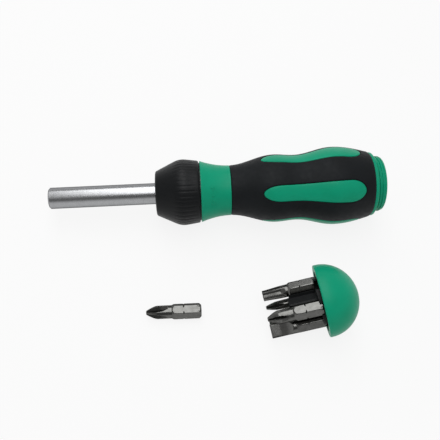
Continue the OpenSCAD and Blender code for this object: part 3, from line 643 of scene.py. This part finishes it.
def plunger_spring():
    """A coil in the place of the drawn spring, baked into place and attached to no body."""
    low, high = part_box("plunger_spring")
    middle = TOOL.inverted() @ ((Vector(low) + Vector(high)) / 2)
    place = TOOL @ Matrix.Translation(middle) @ Matrix.Rotation(math.pi / 2, 4, "Y")
    coil = add_piece("spring_coil", loft(coil_rings()), place, "machined_steel", None, ("plunger_spring",))
    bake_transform(coil)


def handle_core():
    edge = rounded([(SPIGOT_R, RING_FROM, 0), (RING_R, RING_FROM, RING_EDGE), (RING_R, GRIP_FROM, 0)])[:-1]
    rim = rounded([
        (GRIP_END_R - GRIP_WALL, GRIP_TO + RIM_GAP, 0),
        (RIM_R, GRIP_TO + RIM_GAP, RIM_FRONT_EDGE),
        (RIM_R, RIM_TO, RIM_EDGE),
        (NECK_R, RIM_TO, RIM_FOOT),
        (NECK_R, TOOL_END, 0),
    ])[:-1]
    mouth = rounded([
        (NECK_R, RIM_TO, 0),
        (NECK_R, TOOL_END, NECK_EDGE),
        (STORAGE_R, TOOL_END, STORAGE_EDGE),
        (STORAGE_R, STORAGE_FROM, 0),
    ])[1:]
    profile = [(POINT_R, SPIGOT_TO), (SPIGOT_R, SPIGOT_TO)] + edge
    profile += [(ring_r(z), z) for z in span(RING_FROM + RING_EDGE, GRIP_FROM, RING_STEPS)[1:]]
    profile += [(grip_r(z) - GRIP_WALL, z) for z in span(GRIP_FROM, GRIP_TO, GRIP_STEPS)]
    profile += rim
    neck_from = len(profile)
    profile += [(NECK_R, z) for z in span(RIM_TO + NECK_START, TOOL_END - NECK_EDGE - NECK_STOP, NECK_STEPS)]
    neck_to = len(profile)
    profile += mouth + [(POINT_R, STORAGE_FROM)]

    def ridge(k, z, angle):
        if not neck_from <= k < neck_to:
            return 0
        return thread(z, angle, RIDGE_H, RIM_TO, TOOL_END - NECK_EDGE)

    rings = turned(profile, ROUND, ridge)
    add_piece("core_body", loft(rings), TOOL, "green_plastic", "handle", ("handle_core",))


def mirrored(points):
    """A half outline of height and width, closed by its mirror image."""
    return points + [(z, -w) for z, w in points[-2:0:-1]]


def inlay_outline(grow):
    """Points round one inlay with oval ends, as height along the tool and flat width."""
    points = []
    for turn in span(-math.pi / 2, 0, ARC_STEPS)[:-1]:
        points.append((INLAY_FRONT + (INLAY_FRONT_LEN + grow) * math.sin(turn),
                       (INLAY_FRONT_W + grow) * math.cos(turn)))
    for share in span(0, 1, SIDE_STEPS)[:-1]:
        points.append((INLAY_FRONT + (INLAY_REAR - INLAY_FRONT) * share,
                       INLAY_FRONT_W + (INLAY_REAR_W - INLAY_FRONT_W) * share + grow))
    for turn in span(0, math.pi / 2, ARC_STEPS):
        points.append((INLAY_REAR + (INLAY_REAR_LEN + grow) * math.sin(turn),
                       (INLAY_REAR_W + grow) * math.cos(turn)))
    return mirrored(points)


def inlay_spine():
    """Points on the middle line of an inlay, one for each point of its outline."""
    points = [(INLAY_FRONT, 0)] * ARC_STEPS
    points += [(z, 0) for z in span(INLAY_FRONT, INLAY_REAR, SIDE_STEPS)[:-1]]
    points += [(INLAY_REAR, 0)] * (ARC_STEPS + 1)
    return mirrored(points)


def sector_edge():
    """Points round one inlay's share of the grip, one for each point of its outline."""
    half = INLAY_FLAT_R * math.pi / INLAYS
    turn = ARC_STEPS // 2
    points = [(GRIP_FROM, w) for w in span(0, half, turn)[:-1]]
    points += [(z, half) for z in span(GRIP_FROM, INLAY_FRONT, turn)[:-1]]
    points += [(z, half) for z in span(INLAY_FRONT, INLAY_REAR, SIDE_STEPS)[:-1]]
    points += [(z, half) for z in span(INLAY_REAR, GRIP_TO, turn)[:-1]]
    points += [(GRIP_TO, w) for w in span(half, 0, turn)]
    return mirrored(points)


def on_grip(points, turn, depth):
    """Flat points wrapped round the grip, sunk by depth and rounded off at the grip's ends."""
    wrapped = []
    for z, w in points:
        angle = turn + w / INLAY_FLAT_R
        front = ramp(z, GRIP_FROM, GRIP_FROM + GRIP_END_ROUND)
        rear = ramp(-z, -GRIP_TO, GRIP_END_ROUND - GRIP_TO)
        r = grip_r(z) - depth - SEAM_DEPTH * (2 - front - rear)
        wrapped.append((r * math.cos(angle), r * math.sin(angle), z))
    return wrapped


def lip_rings(turn, side):
    """Rings of a rounded lip that starts in the seam and ends flush, outside it or inside it."""
    rings = []
    for away, sunk in SEAM_LIP_STEPS:
        rings.append(on_grip(inlay_outline(side * (SEAM + away)), turn, SEAM_DEPTH * sunk))
    return rings


def add_wall(obj):
    """Thickness under a skin, turned inwards."""
    wall = obj.modifiers.new("wall", "SOLIDIFY")
    wall.thickness = SKIN * MM
    wall.offset = -1


def inlay_turns():
    return [math.radians(INLAY_TURN + i * 360 / INLAYS) for i in range(INLAYS)]


def grip_sleeve():
    verts, faces = [], []
    start = inlay_outline(SEAM + SEAM_LIP)
    for turn in inlay_turns():
        rings = lip_rings(turn, 1)
        for share in span(0, 1, SPREAD_STEPS)[1:]:
            spread = 1 - (1 - share) ** SPREAD_POWER
            rings.append(on_grip(between(start, sector_edge(), spread), turn, 0))
        more_verts, more_faces = loft(rings, False)
        faces += [tuple(i + len(verts) for i in face) for face in more_faces]
        verts += more_verts
    skin = (verts, faces)
    add_wall(add_piece("grip_skin", skin, TOOL, "grip_rubber", "handle", ("grip_sleeve",), SKIN_SMOOTH_ANGLE))


def inlays():
    start = inlay_outline(-SEAM - SEAM_LIP)
    for i, turn in enumerate(inlay_turns()):
        rings = lip_rings(turn, -1)
        for share in span(0, 1, FILL_STEPS)[1:]:
            rings.append(on_grip(between(start, inlay_spine(), share), turn, 0))
        skin = loft(rings, False)
        name = f"inlay_{i + 1}"
        add_wall(add_piece(name, skin, TOOL, "green_plastic", "handle", (), SKIN_SMOOTH_ANGLE))


def ring_mark(name, shape, turn):
    """A low mark on the ring from flat points of width round the ring and height along the tool."""
    rings = []
    for rise, size in ((-MARK_H, 1), (MARK_H * MARK_SIDE_SHARE, 1), (MARK_H, MARK_TOP_SHARE)):
        ring = []
        for w, z in shape:
            height = MARK_AT + z * size
            angle = math.radians(turn) + w * size / RING_R
            r = ring_r(height) + rise
            ring.append((r * math.cos(angle), r * math.sin(angle), height))
        rings.append(ring)
    add_piece(name, loft(rings), TOOL, "green_plastic", "handle")


def ring_marks():
    """Plain signs for the two turning directions, with a dot for the lock between them."""
    arrow = [
        (-ARROW_TAIL, -ARROW_HALF_W),
        (ARROW_NECK, -ARROW_HALF_W),
        (ARROW_NECK, -ARROW_HEAD_HALF_W),
        (ARROW_TIP, 0),
        (ARROW_NECK, ARROW_HEAD_HALF_W),
        (ARROW_NECK, ARROW_HALF_W),
        (-ARROW_TAIL, ARROW_HALF_W),
    ]
    dot = [(DOT_R * math.cos(a), DOT_R * math.sin(a)) for a in span(0, 2 * math.pi, DOT_STEPS)[:-1]]
    ring_mark("mark_tighten", [(-w, z) for w, z in arrow], INLAY_TURN - MARK_PITCH)
    ring_mark("mark_lock", dot, INLAY_TURN)
    ring_mark("mark_loosen", arrow, INLAY_TURN + MARK_PITCH)


# Cap and bits


def end_cap():
    crown = []
    for turn in span(0, CAP_CROWN_TURN, CAP_CROWN_STEPS):
        crown.append((CAP_R * math.cos(turn), CAP_BAND + (CAP_H - CAP_BAND) * math.sin(turn)))
    lip = rounded([
        (CAP_BORE_R, CAP_BAND, 0),
        (CAP_BORE_R, 0, CAP_EDGE_IN),
        (CAP_R, 0, CAP_EDGE_OUT),
        (CAP_R, CAP_BAND, 0),
    ])[1:-1]
    profile = [(POINT_R, POST_END), (POST_R, POST_END), (POST_R, BOWL_DEPTH), (BOWL_R, BOWL_DEPTH)]
    profile += [(BOWL_R, CAP_BORE_DEPTH), (CAP_BORE_R, CAP_BORE_DEPTH)]
    bore_from = len(profile)
    bore = span(CAP_BORE_DEPTH - CAP_BORE_MARGIN, CAP_BORE_MARGIN, CAP_BORE_STEPS)
    profile += [(CAP_BORE_R, z) for z in bore]
    bore_to = len(profile)
    profile += lip + crown

    def ridge(k, z, angle):
        if not bore_from <= k < bore_to:
            return 0
        return -thread(z, angle, CAP_RIDGE_H, CAP_BORE_MARGIN, CAP_BORE_DEPTH - CAP_RIDGE_STOP)

    add_piece("cap_dome", loft(turned(profile, ROUND, ridge)), CAP, "green_plastic", "cap", ("end_cap",))


def hexagon(angle, flat):
    """Distance to the side of a hexagon that has a flat at angle 0."""
    turn = (angle + math.pi / 6) % (math.pi / 3) - math.pi / 6
    return flat / math.cos(turn)


def shank(z, angle, neck_r):
    """Radius of a bit behind its tip."""
    if z > HEX_LEN:
        return neck_r
    corner = hexagon(math.pi / 6, BIT_AF / 2) - BIT_CORNER
    bevel = corner - max(0, HEX_BEVEL - z)
    notch = NOTCH_R + abs(z - NOTCH_AT)
    slope = neck_r + (corner - neck_r) * (HEX_LEN - z) / SLOPE
    return min(hexagon(angle, BIT_AF / 2), corner, bevel, notch, slope)


def cross_tip(tip_r):
    """The section of a cross bit, as a function of height and angle."""
    def section(z, angle):
        body = shank(z, angle, tip_r)
        if z <= HEX_LEN:
            return body
        along = BIT_LEN - z
        taper = 1 - max(0, 1 - along / CROSS_CONE) ** CROSS_POWER
        cone = CROSS_END_R + (tip_r - CROSS_END_R) * taper
        groove = (angle + WING_TURN) % (math.pi / 2) - math.pi / 4
        opening = math.cos(groove) - abs(math.sin(groove))
        root = GROOVE_ROOT + GROOVE_LEAN * along + GROOVE_END * max(0, along - GROOVE_LEN) ** 2
        return min(body, cone, root / max(opening, LEAST))
    return section


def star_tip(z, angle):
    neck = shank(z, angle, STAR_R + STAR_FLARE)
    reach = STAR_R + STAR_FLARE * ramp(BIT_LEN - z, 0, STAR_LEN)
    depth = STAR_GROOVE * ramp(z, HEX_LEN + SLOPE, BIT_LEN - STAR_LEN + SLOPE)
    lobes = reach * (1 - depth * (0.5 - 0.5 * math.cos(6 * angle)) ** STAR_POWER)
    return min(neck, lobes) if z > HEX_LEN else neck


def key_tip(z, angle):
    neck = shank(z, angle, BIT_AF / 2)
    return min(neck, hexagon(angle, KEY_FLAT)) if z > BIT_LEN - KEY_LEN else neck


def slotted_tip(z, angle):
    left = min(1, max(0, (BIT_LEN - BLADE_LEN + BLADE_RUN - z) / BLADE_RUN))
    half_t = BLADE_HALF_T + (BIT_AF / 2 - BLADE_HALF_T) * left ** 2
    across = BLADE_HALF_W / max(abs(math.cos(angle)), LEAST)
    thick = half_t / max(abs(math.sin(angle)), LEAST)
    neck = shank(z, angle, BIT_AF / 2)
    return min(neck, across, thick) if z > BIT_LEN - BLADE_LEN else neck


def bit_heights():
    """Heights of a bit's rings, close together at its notch, its slope and its tip."""
    stretches = (
        (0, HEX_BEVEL, 3),
        (HEX_BEVEL, NOTCH_AT - NOTCH_HALF, 4),
        (NOTCH_AT - NOTCH_HALF, NOTCH_AT + NOTCH_HALF, 8),
        (NOTCH_AT + NOTCH_HALF, HEX_LEN - SLOPE, 2),
        (HEX_LEN - SLOPE, HEX_LEN, 6),
    )
    heights = []
    for low, high, steps in stretches:
        heights += span(low, high, steps)[:-1]
    return heights + span(HEX_LEN + LEAST, BIT_LEN, TIP_STEPS)


def bit(name, node, place, body, section):
    rings = []
    for z in bit_heights():
        ring = []
        for i in range(BIT_ROUND):
            angle = 2 * math.pi * i / BIT_ROUND
            r = section(z, angle) - (BIT_END if z == BIT_LEN else 0)
            ring.append((r * math.cos(angle), r * math.sin(angle), z))
        rings.append(ring)
    add_piece(name, loft(rings), place, "bit_steel", body, (node,))


def bits():
    large = cross_tip(CROSS_LARGE_R)
    small = cross_tip(CROSS_SMALL_R)
    bit("cross_large", "bit_cross_large", seat_frame(0, CROSS_LARGE_TURN), "stored_cross_large", large)
    bit("slotted", "bit_slotted", seat_frame(1, SLOTTED_TURN), "stored_slotted", slotted_tip)
    bit("hexagon_key", "bit_hexagon", seat_frame(2), "stored_hexagon", key_tip)
    bit("cross_small", "bit_cross_small", seat_frame(3), "stored_cross_small", small)
    bit("star", "bit_star", seat_frame(4, STAR_TURN), "stored_star", star_tip)
    bit("cross_loose", "loose_bit", loose_frame(), "loose_bit", large)


# Stage


def seen_directly(tree):
    """1 for rays from the camera, from a reflection or through a clear piece, and 0 for others."""
    path = tree.nodes.new("ShaderNodeLightPath")
    result = path.outputs["Is Camera Ray"]
    for kind in ("Is Glossy Ray", "Is Transmission Ray"):
        larger = tree.nodes.new("ShaderNodeMath")
        larger.operation = "MAXIMUM"
        tree.links.new(result, larger.inputs[0])
        tree.links.new(path.outputs[kind], larger.inputs[1])
        result = larger.outputs["Value"]
    return result


def floor_material():
    """Pale paint that stays near white to the eye and keeps a soft shadow."""
    material = bpy.data.materials.new("floor")
    material.use_nodes = True
    tree = material.node_tree
    tree.nodes.clear()
    share = tree.nodes.new("ShaderNodeMath")
    share.operation = "MULTIPLY"
    share.inputs[1].default_value = FLOOR_GLOW
    paint = tree.nodes.new("ShaderNodeBsdfDiffuse")
    paint.inputs["Color"].default_value = FLOOR_COLOUR
    glow = tree.nodes.new("ShaderNodeEmission")
    mix = tree.nodes.new("ShaderNodeMixShader")
    out = tree.nodes.new("ShaderNodeOutputMaterial")
    tree.links.new(seen_directly(tree), share.inputs[0])
    tree.links.new(share.outputs["Value"], mix.inputs["Fac"])
    tree.links.new(paint.outputs["BSDF"], mix.inputs[1])
    tree.links.new(glow.outputs["Emission"], mix.inputs[2])
    tree.links.new(mix.outputs["Shader"], out.inputs["Surface"])
    return material


def floor():
    half = FLOOR_SIZE / 2
    level = cad_box[0][2]
    corners = [(-half, -half, level), (half, -half, level), (half, half, level), (-half, half, level)]
    mesh = bpy.data.meshes.new("floor")
    mesh.from_pydata(corners, [], [(0, 1, 2, 3)])
    mesh.materials.append(floor_material())
    obj = bpy.data.objects.new("floor", mesh)
    bpy.context.scene.collection.objects.link(obj)


def studio_world():
    """Surroundings that are pale at the horizon and softer above, with a dim patch on the viewer's side."""
    world = bpy.data.worlds.new("studio")
    bpy.context.scene.world = world
    world.use_nodes = True
    tree = world.node_tree
    coords = tree.nodes.new("ShaderNodeTexCoord")
    height = tree.nodes.new("ShaderNodeSeparateXYZ")
    tones = tree.nodes.new("ShaderNodeValToRGB")
    tones.color_ramp.elements[0].position = SKY_LOW_AT
    tones.color_ramp.elements[0].color = SKY_LOW
    tones.color_ramp.elements[1].position = SKY_HIGH_AT
    tones.color_ramp.elements[1].color = SKY_HIGH
    facing = tree.nodes.new("ShaderNodeVectorMath")
    facing.operation = "DOT_PRODUCT"
    facing.inputs[1].default_value = DIM_SIDE.normalized()
    dimming = tree.nodes.new("ShaderNodeMapRange")
    dimming.inputs["From Min"].default_value = DIM_FROM
    dimming.inputs["From Max"].default_value = DIM_TO
    dimming.inputs["To Min"].default_value = 1.0
    dimming.inputs["To Max"].default_value = DIM_SHARE
    sky = tree.nodes["Background"]
    tree.links.new(coords.outputs["Generated"], height.inputs["Vector"])
    tree.links.new(height.outputs["Z"], tones.inputs["Fac"])
    tree.links.new(tones.outputs["Color"], sky.inputs["Color"])
    tree.links.new(coords.outputs["Generated"], facing.inputs[0])
    tree.links.new(facing.outputs["Value"], dimming.inputs["Value"])
    tree.links.new(dimming.outputs["Result"], sky.inputs["Strength"])


def top_light():
    """One large soft lamp above the object and behind it."""
    lamp = bpy.data.lights.new("top_light", "AREA")
    lamp.shape = "RECTANGLE"
    lamp.size = LAMP_WIDTH
    lamp.size_y = LAMP_HEIGHT
    lamp.energy = LAMP_POWER
    obj = bpy.data.objects.new("top_light", lamp)
    obj.location = LAMP_PLACE
    obj.rotation_euler = (LAMP_TARGET - LAMP_PLACE).to_track_quat("-Z", "Y").to_euler()
    bpy.context.scene.collection.objects.link(obj)


def camera():
    turn, rise, roll = (math.radians(v) for v in (CAMERA_TURN, CAMERA_RISE, CAMERA_ROLL))
    side = Vector((math.cos(turn), math.sin(turn), 0))
    ahead = Vector((-math.sin(turn) * math.cos(rise), math.cos(turn) * math.cos(rise), -math.sin(rise)))
    top = side.cross(ahead)
    right = math.cos(roll) * side + math.sin(roll) * top
    upward = math.cos(roll) * top - math.sin(roll) * side
    data = bpy.data.cameras.new("photo_camera")
    data.sensor_width = SENSOR
    data.lens = SENSOR * CAMERA_FOCUS
    data.clip_start = CAMERA_NEAR
    obj = bpy.data.objects.new("photo_camera", data)
    place = Matrix((right, upward, -ahead)).transposed().to_4x4()
    obj.matrix_world = Matrix.Translation(CAMERA_TARGET - ahead * CAMERA_DISTANCE) @ place
    bpy.context.scene.collection.objects.link(obj)
    bpy.context.scene.camera = obj


finish_cad_nodes()
selector_collar()
plunger_spring()
handle_core()
grip_sleeve()
inlays()
ring_marks()
end_cap()
bits()
floor()
studio_world()
top_light()
camera()
bpy.context.scene.view_settings.view_transform = "Standard"
